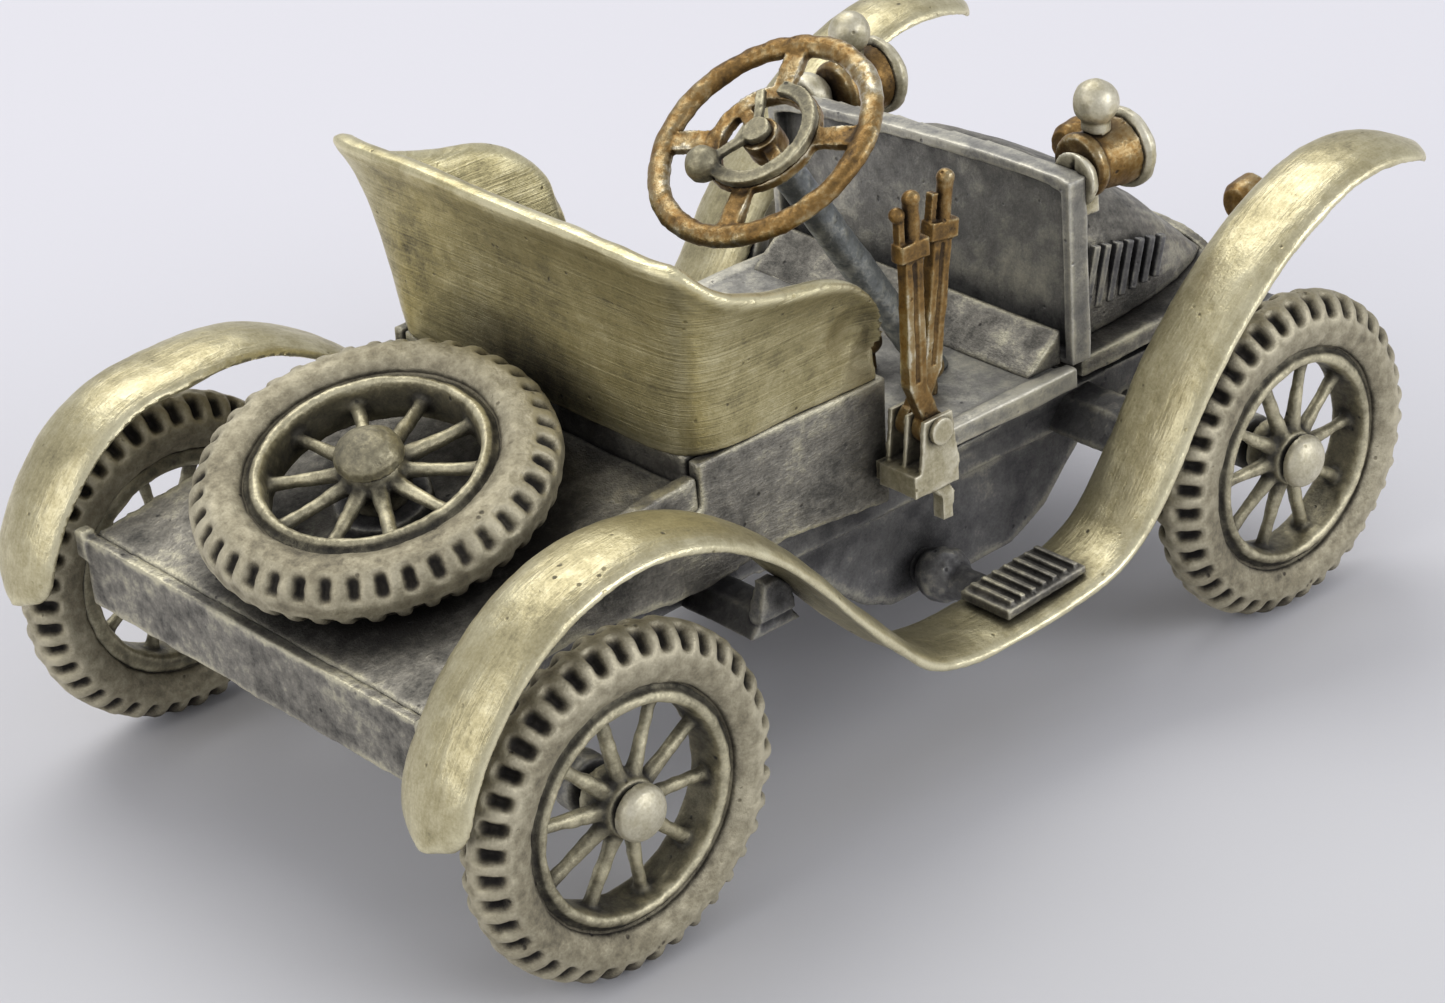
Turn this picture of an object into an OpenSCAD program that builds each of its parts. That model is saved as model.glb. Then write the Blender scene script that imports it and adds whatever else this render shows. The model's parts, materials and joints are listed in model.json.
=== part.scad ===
// Small cast collector car: open two-seat runabout of the early 1900s, solid white metal.
// Millimetres. +X forward, +Y to the car's left, +Z up, ground at z = 0.
// All lengths along X are written from the rear axle and moved by place().

/* [Wheels] */
// distance between the two axles
wheelbase = 57.8; // [50:0.1:66]
// rear axle position along X in the shared frame
rear_axle_x = -29.95; // [-34:0.1:-26]
// tyre outside radius over the lugs
tyre_r = 11.2; // [9:0.1:13]
// distance between the middle planes of left and right wheels
track = 44.8; // [38:0.1:50]
// radius of the open part of the rim
rim_open_r = 6.5; // [5:0.1:8]
// outside radius of the rim where the tyre sits
rim_r = 7.9; // [7:0.1:9]
// tyre width
tyre_w = 3.9; // [3:0.1:6]
// number of spokes
spokes = 10; // [6:1:14]
// number of lugs round a tyre shoulder
lugs = 40; // [24:1:56]
// hub radius
hub_r = 1.9; // [1.4:0.1:3]
// axle rod radius
axle_r = 0.8; // [0.5:0.05:1.5]
// running clearance on the radius between rod and hub
run_gap = 0.06; // [0.02:0.01:0.1]
// radius of the domed rod head outside each hub
head_r = 1.8; // [1.1:0.1:2.4]

/* [Body] */
// height of the deck at its tail edge
tail_z = 18.2; // [15:0.1:22]
// height of the deck at the seat back
deck_z = 23.2; // [20:0.1:28]
// half width of the deck at the tail
deck_hw = 17.0; // [13:0.1:18]
// half width of the body under the seat
seat_hw = 14.8; // [12:0.1:17]
// floor plate top height
floor_z = 18.9; // [16:0.1:22]
// top of the seat back
seat_top_z = 38.8; // [34:0.1:44]
// height of the dash top corners
dash_top = 31.8; // [27:0.1:36]
// dash half width
dash_hw = 14.2; // [11:0.1:17]

/* [Fenders] */
// fender outer edge, distance from the middle plane
fender_out = 24.2; // [22:0.1:26]
// fender inner edge, distance from the middle plane
fender_in = 18.0; // [16:0.1:20]
// fender metal thickness
fender_t = 0.8; // [0.5:0.05:1.5]
// how much the fender is crowned across its width
fender_crown = 0.55; // [0:0.05:1.2]

/* [Steering] */
// steering wheel radius to the middle of its rim
steer_r = 7.3; // [5:0.1:9]
// lean of the column from the vertical, degrees
rake = 33; // [20:1:50]
// steering wheel centre along X
steer_x = 27.8; // [22:0.1:34]
// steering wheel centre height
steer_z = 39.2; // [34:0.1:44]
// column offset to the driver's side
steer_y = -7; // [-10:0.1:10]

/* [Levers] */
// pivot of both hand levers, along X
lever_x = 30.4; // [26:0.1:36]
// pivot height
lever_z = 22.2; // [19:0.1:25]
// middle plane of the inner lever
lever_y1 = -16.3; // [-17:0.1:-15.5]
// middle plane of the outer lever
lever_y2 = -17.7; // [-19:0.1:-17]
// lever length from pivot to grip end
lever_len = 16.0; // [12:0.1:20]
// forward lean of the inner lever, degrees
lean1 = 9; // [-10:1:20]
// forward lean of the outer lever, degrees
lean2 = 1; // [-10:1:20]

/* [Spare] */
// spare wheel centre along X
spare_x = 1.0; // [-4:0.1:8]
// height of the spare wheel's face plane at its centre
spare_z = 25.4; // [22:0.1:30]
// lean of the spare toward the tail, degrees
spare_tilt = 15; // [0:1:25]
// lean of the spare toward the driver's side, degrees
spare_roll = 7; // [0:1:15]
// size of the spare against a road wheel
spare_scale = 1.03; // [0.95:0.01:1.1]

/* [Hidden] */
$fn = 48;
axle_z = tyre_r;
wheel_y = track / 2;
face_in = 0.5;                      // rim face set in from the tyre's outer side
alloy = [0.62, 0.61, 0.55];
dark = [0.36, 0.36, 0.38];
bright = [0.72, 0.71, 0.62];
brass = [0.62, 0.47, 0.24];

module place() { translate([rear_axle_x, 0, 0]) children(); }
module both() { children(); mirror([0, 1, 0]) children(); }
module at_y(y) { translate([0, y, 0]) children(); }
// solid with a side outline in X and Z, from y = a to y = b
module side_plate(pts, a, b) {
  translate([0, b, 0]) rotate([90, 0, 0]) linear_extrude(b - a) polygon(pts);
}
// box between two corners
module box(p, q) { translate(p) cube(q - p); }

// ---- wheels: drawn round Z with the outer face toward +Z ----
module wheel_shape() {
  w = tyre_w / 2 - face_in;
  difference() {
    union() {
      rotate_extrude() polygon([[rim_open_r, -w + 0.35], [rim_open_r + 0.3, -w], [rim_r - 0.25, -w],
        [rim_r, -w + 0.35], [rim_r, w - 0.35], [rim_r - 0.25, w], [rim_open_r + 0.3, w],
        [rim_open_r, w - 0.35]]);
      translate([0, 0, -w]) cylinder(h = 2 * w + 0.1, r = hub_r);
      for (i = [0 : spokes - 1]) rotate([0, 0, 360 * (i + 0.5) / spokes])
        translate([hub_r - 0.5, 0, 0]) rotate([0, 90, 0])
          cylinder(h = rim_open_r - hub_r + 0.9, r1 = 0.52, r2 = 0.38, $fn = 20);
    }
    translate([0, 0, -w - 1]) cylinder(h = 2 * w + 2, r = axle_r + run_gap);
  }
}
module tyre_shape() {
  w = tyre_w / 2;
  difference() {
    rotate_extrude() polygon([[rim_r, -w + 0.5], [rim_r + 0.35, -w + 0.18], [rim_r + 1.2, -w],
      [tyre_r - 1.1, -w + 0.25], [tyre_r - 0.25, -w + 1.0], [tyre_r, -0.6], [tyre_r, 0.6],
      [tyre_r - 0.25, w - 1.0], [tyre_r - 1.1, w - 0.25], [rim_r + 1.2, w],
      [rim_r + 0.35, w - 0.18], [rim_r, w - 0.5]]);
    for (i = [0 : lugs - 1]) rotate([0, 0, 360 * i / lugs]) for (s = [-1, 1])
      translate([tyre_r - 0.45, 0, s * (w - 0.55)]) cube([1.5, 0.62, 1.3], center = true);
  }
}
module road(x, side) {
  place() translate([x, side * wheel_y, axle_z]) rotate([-90 * side, 0, 0]) children();
}
module axle_rod(x) {
  half = wheel_y + tyre_w / 2 - face_in + 0.22;
  place() translate([x, 0, axle_z]) rotate([90, 0, 0]) rotate_extrude() polygon(concat(
    [[0, -half - 1.3]],
    [for (a = [15 : 15 : 90]) [head_r * sin(a), -half - 0.25 - 1.05 * cos(a)]],
    [[head_r, -half], [axle_r, -half], [axle_r, half], [head_r, half]],
    [for (a = [90 : -15 : 15]) [head_r * sin(a), half + 0.25 + 1.05 * cos(a)]],
    [[0, half + 1.3]]));
}

// ---- chassis ----
rail_y = 10.6;
rail_w = 1.6;
module chassis_frame() {
  color(dark) place() {
    both() difference() {
      side_plate([[-7.5, 14.2], [19, 14.0], [22, 13.6], [52, 13.6], [58, 14.4], [62.5, 13.2],
        [62.5, 14.8], [58, 16.2], [52, 16.2], [22, 15.6], [-7.5, 15.8]], rail_y, rail_y + rail_w);
      box([21, rail_y + rail_w - 0.35, 15.0], [52, rail_y + rail_w + 1, 15.25]);
    }
    for (x = [-7.2, 16, 49.5, 59]) box([x, -rail_y, 14.4], [x + 1.8, rail_y, 15.6]);
  }
}
pan = [[21.5, 13.6], [24.5, 11.6], [30, 7.3], [32.5, 6.3], [43.2, 6.3], [46.7, 8.1],
  [49.8, 11.1], [51.5, 13.6]];
module under_pan() {
  color(dark) place() side_plate(pan, -11.6, 11.6);
}
module axle_beam(x) {
  color(dark) place() difference() {
    union() {
      at_y(0) translate([x, -18.6, axle_z]) rotate([-90, 0, 0]) cylinder(h = 37.2, r = 1.5);
      translate([x, -20.2, axle_z]) rotate([-90, 0, 0]) cylinder(h = 1.7, r = 1.9);
      translate([x, 18.5, axle_z]) rotate([-90, 0, 0]) cylinder(h = 1.7, r = 1.9);
    }
    translate([x, -25, axle_z]) rotate([-90, 0, 0]) cylinder(h = 50, r = axle_r);
  }
}
module rear_axle_beam() {
  axle_beam(0);
  color(dark) place() difference() {
    translate([0, 0, axle_z]) rotate([90, 0, 0]) rotate_extrude()
      polygon([[1.5, -2.2], [2.8, -1.4], [3.2, 0], [2.8, 1.4], [1.5, 2.2]]);
    translate([0, -5, axle_z]) rotate([-90, 0, 0]) cylinder(h = 10, r = 1.4);
  }
}
module front_axle_beam() { axle_beam(wheelbase); }
// leaf spring: two curved leaves and a clamp block over the axle beam
module spring(x, l) {
  at = axle_z + 1.5;
  both() {
    side_plate([[x - l, 14.0], [x - l * 0.5, at + 0.7], [x, at + 0.1], [x + l * 0.5, at + 0.7],
      [x + l, 14.0], [x + l - 0.9, 14.0], [x + l * 0.45, at + 1.4], [x, at + 0.9],
      [x - l * 0.45, at + 1.4], [x - l + 0.9, 14.0]], rail_y + 0.1, rail_y + 1.4);
    box([x - 0.9, rail_y - 0.2, at - 0.35], [x + 0.9, rail_y + 1.7, at + 1.3]);
  }
}
module rear_springs() { color(dark) place() spring(0, 6.6); }
module front_springs() { color(dark) place() spring(wheelbase, 4.4); }
module rear_axle_rod() { color(bright) axle_rod(0); }
module front_axle_rod() { color(bright) axle_rod(wheelbase); }
module wheel_rear_right() { color(alloy) road(0, -1) wheel_shape(); }
module wheel_rear_left() { color(alloy) road(0, 1) wheel_shape(); }
module wheel_front_right() { color(alloy) road(wheelbase, -1) wheel_shape(); }
module wheel_front_left() { color(alloy) road(wheelbase, 1) wheel_shape(); }
module tyre_rear_right() { color(bright) road(0, -1) tyre_shape(); }
module tyre_rear_left() { color(bright) road(0, 1) tyre_shape(); }
module tyre_front_right() { color(bright) road(wheelbase, -1) tyre_shape(); }
module tyre_front_left() { color(bright) road(wheelbase, 1) tyre_shape(); }

// ---- spare wheel on the rear deck ----
module spare_place() {
  place() translate([spare_x, 0, spare_z]) rotate([spare_roll, 0, 0]) rotate([0, -spare_tilt, 0])
    scale(spare_scale) translate([0, 0, -tyre_w / 2 + face_in]) children();
}
module spare_wheel() { color(alloy) spare_place() wheel_shape(); }
module spare_tyre() { color(bright) spare_place() tyre_shape(); }
module spare_stud() {
  w = tyre_w / 2 - face_in;
  color(bright) spare_place() rotate_extrude() polygon(concat(
    [[0, -w - 0.35], [axle_r + run_gap, -w - 0.35], [axle_r + run_gap, w + 0.1], [2.15, w + 0.1]],
    [for (a = [75 : -15 : 15]) [2.15 * sin(a), w + 0.3 + 1.5 * cos(a)]], [[0, w + 1.8]]));
}
module spare_rest() {
  w = tyre_w / 2 - face_in;
  color(dark) place() difference() {
    translate([-rear_axle_x, 0, 0]) spare_place() translate([0, 0, -w - 3.5])
      difference() {
        cylinder(h = 3.5, r = 3.0);
        translate([0, 0, 3.15]) cylinder(h = 1, r = axle_r + run_gap);
      }
    side_plate([[-12, 5], [14, 5], [14, deck_at(14)], [-12, deck_at(-12)]], -18, 18);
  }
}

// ---- body ----
function deck_at(x) = tail_z + (deck_z - tail_z) * (x + 8.6) / 22.6;
function deck_w(x) = deck_hw + (seat_hw - deck_hw) * (x + 8.6) / 22.6;
module deck_outline(a, b, inset) {
  polygon([[a, -deck_w(a) + inset], [b, -deck_w(b) + inset], [b, deck_w(b) - inset],
    [a, deck_w(a) - inset]]);
}
module rear_deck() {
  color(alloy) place() union() {
    intersection() {
      side_plate([[-8.6, tail_z - 1.2], [14, deck_z - 1.2], [14, deck_z], [-8.6, tail_z]], -20, 20);
      translate([0, 0, 10]) linear_extrude(20) deck_outline(-8.6, 14, 0);
    }
    intersection() {
      side_plate([[0, deck_at(0) - 0.6], [14, deck_z - 0.6], [14, 24.2], [9, 24.0], [4, 22.9],
        [0, deck_at(0) + 0.1]], -20, 20);
      translate([0, 0, 10]) linear_extrude(20) difference() {
        deck_outline(0, 14, 0);
        deck_outline(-1, 15, 1.1);
      }
    }
  }
}
module tail_panel() {
  color(alloy) place() {
    box([-9.5, -deck_hw + 0.2, tail_z - 4.6], [-8.6, deck_hw - 0.2, tail_z + 0.1]);
    both() box([-9.7, deck_hw - 0.3, tail_z - 1.4], [-8.62, deck_hw + 0.7, tail_z + 0.5]);
  }
}
// side panels: thin, waisted in plan behind the seat
module quarter_panels() {
  color(alloy) place() both() intersection() {
    side_plate([[-8.4, tail_z - 1.3], [-8.4, tail_z - 3.2], [-3, 16.4], [4, 17.2], [14, 16.4],
      [21, 17.0], [29.6, 16.2], [29.6, 24.9], [14.1, 24.9], [14.1, deck_z - 1.25]], 9, 18);
    translate([0, 0, 10]) linear_extrude(20) difference() {
      polygon([[-8.5, 10], [30, 10], [30, seat_hw], [20, seat_hw - 0.2], [12, seat_hw + 0.1],
        [2, deck_w(2) - 1.2], [-8.5, deck_w(-8.5) - 0.8]]);
      polygon([[-9, 9], [28.6, 9], [28.6, seat_hw - 1.0], [20, seat_hw - 1.2],
        [12, seat_hw - 0.9], [2, deck_w(2) - 2.2], [-9, deck_w(-9) - 1.8]]);
    }
  }
}
module seat_base() {
  color(alloy) place() {
    box([14.1, -seat_hw + 1.25, 16.4], [15.2, seat_hw - 1.25, 24.0]);
    box([28.0, -seat_hw + 1.25, 16.4], [28.6, seat_hw - 1.25, 24.0]);
    box([14.1, -seat_hw + 1.3, 24.0], [28.5, seat_hw - 1.3, 25.0]);
  }
}
// seat tub: one band from wing to wing round the back, foot point and rim point at each station
seat_half = [[[13.6, 0, 25], [11.7, 0, seat_top_z]], [[13.6, 6.5, 25], [11.7, 8.0, seat_top_z + 0.1]],
  [[13.7, 11.4, 25], [11.8, 14.0, seat_top_z - 0.1]], [[14.5, 13.6, 25], [12.6, 16.3, 38.3]],
  [[16.2, 14.5, 25], [14.6, 17.1, 36.6]], [[18.5, 14.7, 25], [17.2, 17.1, 35.5]],
  [[21.5, 14.7, 25], [20.4, 16.9, 34.6]], [[24.5, 14.7, 25], [23.6, 16.7, 34.0]],
  [[27.0, 14.7, 25], [26.2, 16.3, 32.8]], [[28.5, 14.7, 25], [28.2, 15.8, 30.6]],
  [[29.2, 14.7, 25], [29.1, 15.3, 28.0]]];
seat_t = 1.1;
function flip(s) = [for (v = s) [v[0], -v[1], v[2]]];
seat_all = concat([for (i = [10 : -1 : 1]) flip(seat_half[i])], seat_half);
function lean(i, k) = let (a = seat_all[max(i - 1, 0)][k], b = seat_all[min(i + 1, 20)][k],
  d = [b[0] - a[0], b[1] - a[1]]) [d[1], -d[0], 0] * seat_t / norm(d);
function seat_in(i, k) = seat_all[i][k] + lean(i, k);
module seat_shell() {
  n = 21;
  pts = concat([for (i = [0 : 20]) seat_all[i][0]], [for (i = [0 : 20]) seat_all[i][1]],
    [for (i = [0 : 20]) seat_in(i, 0)], [for (i = [0 : 20]) seat_in(i, 1)]);
  faces = concat(
    [for (i = [0 : 19]) each [[i, n + i, i + 1], [i + 1, n + i, n + i + 1]]],
    [for (i = [0 : 19]) each [[2 * n + i, 2 * n + i + 1, 3 * n + i],
      [2 * n + i + 1, 3 * n + i + 1, 3 * n + i]]],
    [for (i = [0 : 19]) each [[n + i, 3 * n + i, n + i + 1], [n + i + 1, 3 * n + i, 3 * n + i + 1]]],
    [for (i = [0 : 19]) each [[i, i + 1, 2 * n + i], [i + 1, 2 * n + i + 1, 2 * n + i]]],
    [[0, 2 * n, n], [n, 2 * n, 3 * n]],
    [[n - 1, 2 * n - 1, 3 * n - 1], [2 * n - 1, 4 * n - 1, 3 * n - 1]]);
  color(bright) place() polyhedron(pts, faces);
}
module seat_cushion() {
  color(dark) place() {
    box([16.6, -12.6, 25.0], [28.0, 12.6, 27.4]);
    side_plate([[15.1, 27.4], [16.7, 27.4], [15.0, 35.0], [13.9, 35.0]], -11.4, 11.4);
  }
}
module floor_plate() {
  color(alloy) place() {
    box([29.6, -13.6, floor_z - 1.0], [46.2, 13.6, floor_z]);
    both() box([29.6, 13.6, floor_z - 1.3], [46.9, 14.6, floor_z + 0.15]);
  }
}
module toe_board() {
  color(alloy) place() side_plate([[43.6, floor_z], [46.8, floor_z], [46.8, 21.4]], -13.2, 13.2);
}
// open-backed dash: front wall with a deep frame round it and an arched top
dash_drop = 1.6;                    // left end of the dash sits lower
module dash_outline(o) {
  w = dash_hw - o;
  function top(y) = dash_top - o - dash_drop * (y + dash_hw) / (2 * dash_hw);
  polygon(concat([[-w, floor_z + o * 0.4], [w, floor_z + o * 0.4], [w, top(w)]],
    [for (a = [1 : 7]) [w * cos(22.5 * a), top(w * cos(22.5 * a)) + 0.7 * sin(22.5 * a)]],
    [[-w, top(-w)]]));
}
module dash_slice(x0, x1) {
  translate([x0, 0, 0]) rotate([90, 0, 90]) linear_extrude(x1 - x0) children();
}
module dash_frame() {
  color(alloy) place() {
    difference() {
      dash_slice(46.9, 48.6) dash_outline(0);
      dash_slice(46.0, 48.0) dash_outline(0.75);
    }
  }
}
// hood: arched sections shrinking toward the nose
hood_sec = [[48.6, 11.5, 30.0], [50.6, 11.4, 29.7], [54, 11.2, 28.9], [58, 10.7, 26.8], [61.5, 9.9, 24.2],
  [64.5, 8.8, 21.4], [66.6, 7.6, 19.0]];
hood_z0 = 18.6;
module loft(rings) {
  n = len(rings[0]);
  m = len(rings);
  pts = [for (r = rings) each r];
  faces = concat([[for (j = [0 : n - 1]) n - 1 - j]], [[for (j = [0 : n - 1]) (m - 1) * n + j]],
    [for (i = [0 : m - 2]) for (j = [0 : n - 1]) let (a = i * n + j, b = i * n + (j + 1) % n)
      each [[a, b, a + n], [b, b + n, a + n]]]);
  polyhedron(pts, faces);
}
module hood() {
  color(dark) place() loft([for (s = hood_sec) [for (a = [0 : 24])
    let (t = 7.5 * a, c = cos(t), k = sin(t))
    [s[0], s[1] * sign(c) * pow(abs(c), 0.6), hood_z0 + (s[2] - hood_z0) * pow(abs(k), 0.75)]]]);
}
module hood_skirt() {
  color(dark) place() linear_z(17.2, hood_z0) polygon([[48.6, -13.4], [58, -13.2], [66.6, -9.2],
    [66.6, 9.2], [58, 13.2], [48.6, 13.4]]);
}
module linear_z(a, b) { translate([0, 0, a]) linear_extrude(b - a) children(); }
// slanted louvers on both hood sides
module hood_louvers() {
  color(alloy) place() both() for (i = [0 : 6])
    translate([50.9 + i * 1.2, 10.85 - i * 0.07, 20.4]) rotate([0, 16, 0])
      box([0, 0, 0], [0.6, 0.55, 4.6 - i * 0.28]);
}
module radiator_plate() {
  color(alloy) place() {
    translate([66.6, 0, 0]) rotate([90, 0, 90]) linear_extrude(1.0)
      polygon([for (a = [0 : 24]) let (t = 7.5 * a, c = cos(t), k = sin(t))
        [8.0 * sign(c) * pow(abs(c), 0.6), 17.4 + 2.2 * pow(abs(k), 0.75)]]);
  }
}

// ---- fenders: one crowned ribbon per side, swept along this side view line ----
fender_line = [[-12.3, 13.2], [-11.5, 16.8], [-9.7, 20.0], [-7.0, 22.9], [-3.6, 25.1],
  [0.4, 26.2], [4.4, 26.1], [8.2, 24.9], [11.8, 22.6], [15.0, 19.5], [18.0, 16.0],
  [21.0, 12.8], [24.0, 10.2], [27.5, 9.2], [32.0, 9.1], [37.0, 9.5], [40.6, 10.3],
  [43.4, 12.1], [46.2, 15.4], [49.0, 19.3], [52.2, 22.7], [56.0, 25.8], [59.8, 27.9],
  [63.5, 29.1], [66.8, 29.3], [69.6, 28.7], [72.0, 27.4]];
function cr(p, i, t) = let (n = len(p), a = p[max(i - 1, 0)], b = p[i], c = p[i + 1],
  d = p[min(i + 2, n - 1)]) 0.5 * (2 * b + (c - a) * t + (2 * a - 5 * b + 4 * c - d) * t * t
  + (3 * b - a - 3 * c + d) * t * t * t);
sub = 2;
function finer(p) = concat([for (i = [0 : len(p) - 2]) for (k = [0 : sub - 1])
  cr(p, i, k / sub)], [p[len(p) - 1]]);
nf = (len(fender_line) - 1) * sub + 1;
// the left fender's rear arch sits closer to its wheel
function closer(p) = let (w = max(0, min(1, (16 - p[0]) / 14)), a = [p[0], p[1] - axle_z],
  k = w * (p[0] < -6 ? 0.5 : 0.5 + 1.1 * min(1, (p[0] + 6) / 7))) p - a / norm(a) * k;
function unit2(v) = v / norm(v);
function nrm(fine, i) = let (d = unit2(fine[min(i + 1, nf - 1)] - fine[max(i - 1, 0)])) [-d[1], d[0]];
function cut(k, r) = k >= r ? 1 : sqrt(1 - pow(1 - k / r, 2)) * 0.999 + 0.001;
function wide(i) = min(cut(i + 0.55, 4), cut(nf - 1 - i + 0.55, 5));
function fender_ring(fine, i) = let (c = fine[i], v = nrm(fine, i), w = (fender_out - fender_in) / 2 * wide(i),
  m = (fender_out + fender_in) / 2)
  concat([for (j = [-3 : 3]) let (u = j / 3, h = fender_crown * (1 - u * u) + fender_t / 2)
      [c[0] + v[0] * h, m + u * w, c[1] + v[1] * h]],
    [for (j = [3 : -1 : -3]) let (u = j / 3, h = fender_crown * (1 - u * u) - fender_t / 2)
      [c[0] + v[0] * h, m + u * w, c[1] + v[1] * h]]);
module fender(p) { fine = finer(p); place() loft([for (i = [0 : nf - 1]) fender_ring(fine, i)]); }
module fender_left() { color(bright) fender([for (p = fender_line) closer(p)]); }
module fender_right() { color(bright) mirror([0, 1, 0]) fender(fender_line); }
module step_plates() {
  color(dark) place() both() {
    side_plate([[31.4, 9.95], [38.4, 10.5], [38.4, 11.0], [31.4, 10.6]], 18.9, 23.1);
    for (i = [0 : 6]) translate([31.9 + i * 0.95, 19.2, 10.4 + i * 0.05]) cube([0.4, 3.6, 0.6]);
  }
}
// packing blocks that carry the body and the hood on the rails
module body_blocks() {
  color(dark) place() both() {
    side_plate([[-6.5, 15.75], [-3.5, 15.75], [-3.5, deck_at(-3.5) - 1.2],
      [-6.5, deck_at(-6.5) - 1.2]], rail_y, rail_y + rail_w - 0.2);
    box([27.8, rail_y - 0.4, 15.7], [30.2, rail_y + rail_w - 0.4, 16.4]);
    box([42.6, rail_y - 0.4, 15.95], [45.4, rail_y + rail_w - 0.4, floor_z - 1.0]);
    box([53.0, rail_y - 3.0, 16.2], [57.0, rail_y + rail_w - 0.4, 17.2]);
  }
}
// stays: rear fender, front fender and running board brackets
module rear_stays() {
  color(dark) place() both() {
    side_plate([[14.2, 14.2], [18.2, 14.2], [17.2, 15.6], [15.2, 15.6]], rail_y + 1.4, 18.6);
    side_plate([[14.6, 15.3], [17.6, 15.3], [17.3, 16.9], [16.2, 17.9], [15.2, 17.9]], 17.9, 18.9);
  }
}
module front_stays() {
  color(dark) place() both() {
    side_plate([[46.3, 13.8], [51, 13.9], [50.4, 16.0], [48, 15.8]], rail_y + 1.4, 17.6);
    side_plate([[46.6, 14.2], [48.4, 14.2], [49.4, 18.2], [48.4, 18.4]], 17.6, 18.9);
  }
}
module board_brackets() {
  color(dark) place() both() {
    translate([35, 11.5, 8.3]) rotate([-90, 0, 0]) cylinder(h = 7.6, r = 1.15, $fn = 24);
    translate([35, 13.6, 8.3]) sphere(r = 1.9, $fn = 24);
    translate([35, 18.6, 7.2]) cylinder(h = 2.1, r = 0.9, $fn = 24);
  }
}

// ---- lamps ----
lamps = [[49.9, -12.0, 31.4], [50.9, 12.0, 30.0]];   // right and left lamp, rear end of the barrel
module lamp_frame(c) { place() translate(c) rotate([0, 90, 0]) children(); }
module cowl_lamps() {
  color(brass) for (c = lamps) lamp_frame(c) rotate_extrude()
    polygon([[0, 0], [1.9, 0], [2.15, 0.35], [2.15, 0.8], [1.95, 1.05], [2.35, 3.9], [0, 3.9]]);
}
module lamp_rims() {
  color(bright) for (c = lamps) lamp_frame(c) rotate_extrude() {
    polygon([[0, 3.9], [2.5, 3.9], [2.75, 4.2], [2.75, 4.6], [2.5, 4.9], [2.0, 4.9], [1.8, 4.6],
      [0, 4.9]]);
  }
}
module lamp_caps() {
  color(bright) place() for (c = lamps) translate(c + [1.9, 0, 0]) difference() {
    union() {
      translate([0, 0, 1.6]) cylinder(h = 1.4, r = 0.95);
      translate([0, 0, 3.9]) sphere(r = 1.5, $fn = 32);
    }
    rotate([0, 90, 0]) translate([0, 0, -3]) cylinder(h = 6, r1 = 1.9, r2 = 2.35);
  }
}
module lamp_brackets() {
  color(bright) place() for (c = lamps) {
    s = sign(c[1]);
    translate([c[0] - 1.9, c[1] + 0.9 * s, c[2] - 0.2]) difference() {
      translate([0.2, 0, 0]) sphere(r = 1.9, $fn = 32);
      translate([-5 - c[0] + 1.9 + 48.6, -5, -5]) cube([5, 10, 10]);
    }
    box([48.6, c[1] + 0.3 * s - 0.7, c[2] - 3.1], [c[0] + 1.0, c[1] + 0.3 * s + 0.7, c[2] - 1.7]);
  }
}
module front_lamps() {
  color(brass) place() for (s = [-1, 1]) translate([69.2, s * 8.2, 21.0]) rotate([0, 90, 0])
    rotate_extrude() polygon([[0, 0], [1.1, 0.2], [1.5, 0.8], [1.7, 2.3], [1.45, 2.6], [0, 2.45]]);
}
module front_lamp_posts() {
  color(dark) place() both() {
    translate([70.4, 8.2, 14.0]) cylinder(h = 5.6, r = 0.55, $fn = 24);
    box([61.2, 9.2, 13.2], [71.1, rail_y, 14.3]);
    box([69.7, 7.5, 13.2], [71.1, rail_y, 14.3]);
  }
}

// ---- steering ----
up = [-sin(rake), 0, cos(rake)];
module column_line() {
  translate([steer_x, steer_y, steer_z]) rotate([0, 180 - rake, 0]) children();
}
module steer_plane() {
  translate([steer_x, steer_y, steer_z]) rotate([0, -rake, 0]) children();
}
module steering_column() {
  color(dark) place() union() {
    difference() {
      column_line() translate([0, 0, 1.2]) cylinder(h = 23.6, r = 1.1);
      box([34, -12, 10], [50, 0, floor_z + 0.02]);
    }
    column_line() translate([0, 0, -0.3]) cylinder(h = 1.6, r = 0.55);
  }
}
module steering_wheel() {
  color(brass) place() steer_plane() difference() {
    union() {
      rotate_extrude() translate([steer_r, 0]) scale([0.75, 0.55]) circle(r = 1, $fn = 20);
      for (a = [20, 110, 200, 290]) rotate([0, 0, a]) box([3.4, -0.75, -0.3], [7.0, 0.75, 0.3]);
      translate([0, 0, -0.35]) difference() {
        cylinder(h = 0.7, r = 4.0);
        translate([0, 0, -1]) cylinder(h = 3, r = 2.9);
      }
      for (a = [65, 245]) rotate([0, 0, a]) box([0.6, -0.5, -0.3], [3.2, 0.5, 0.3]);
      translate([0, 0, -1.05]) cylinder(h = 1.7, r = 1.25);
    }
    translate([0, 0, -2]) cylinder(h = 2.55, r = 0.62);
  }
}
// raised quadrant with its two small levers, a knob and a lug
module steering_quadrant() {
  color(bright) place() steer_plane() {
    translate([0, 0, 0.35]) difference() {
      cylinder(h = 0.6, r = 3.9);
      translate([0, 0, -1]) cylinder(h = 3, r = 3.0);
      translate([-6, 0.8, -1]) cube([12, 6, 3]);
    }
    translate([0, 0, 0.65]) cylinder(h = 0.6, r = 0.9);
    rotate([0, 0, 150]) translate([0, -0.3, 0.7]) cube([3.7, 0.6, 0.45]);
    rotate([0, 0, 35]) translate([0, -0.3, 0.7]) cube([3.2, 0.6, 0.45]);
    rotate([0, 0, 150]) translate([3.9, 0, 1.0]) sphere(r = 1.15, $fn = 24);
  }
}

// ---- hand levers ----
module lever_frame(y, lean) {
  place() translate([lever_x, y, lever_z]) rotate([0, lean, 0]) children();
}
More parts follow.
